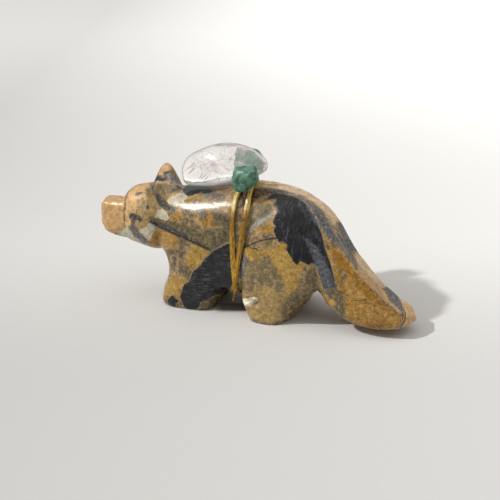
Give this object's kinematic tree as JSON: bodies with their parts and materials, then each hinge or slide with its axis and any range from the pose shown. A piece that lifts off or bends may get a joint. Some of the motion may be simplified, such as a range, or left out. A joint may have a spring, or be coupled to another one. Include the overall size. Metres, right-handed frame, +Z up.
{
  "type": "carved stone animal fetish",
  "caption": "Small carved stone animal with a long thick tail, standing on its feet, with a clear pebble and green stones tied on its back with sinew.",
  "frame": {"origin": "centre of the bounding box in plan, on the surface it stands on", "axes": "+Z up, the head points along -X, the side with the broken ear faces -Y"},
  "size_m": [0.0914, 0.0288, 0.044],
  "materials": {
    "carved_stone": "polished, mottled gold, grey and black",
    "sinew": "waxy golden sinew",
    "clear_quartz": "tumbled, clear with veils inside",
    "green_stone": "tumbled, satin"
  },
  "bodies": {
    "root": {"carved_animal": "carved_stone", "sinew_tie": "sinew", "quartz_pebble": "clear_quartz", "near_green_nugget": "green_stone", "far_green_nugget": "green_stone"}
  },
  "joints": []
}
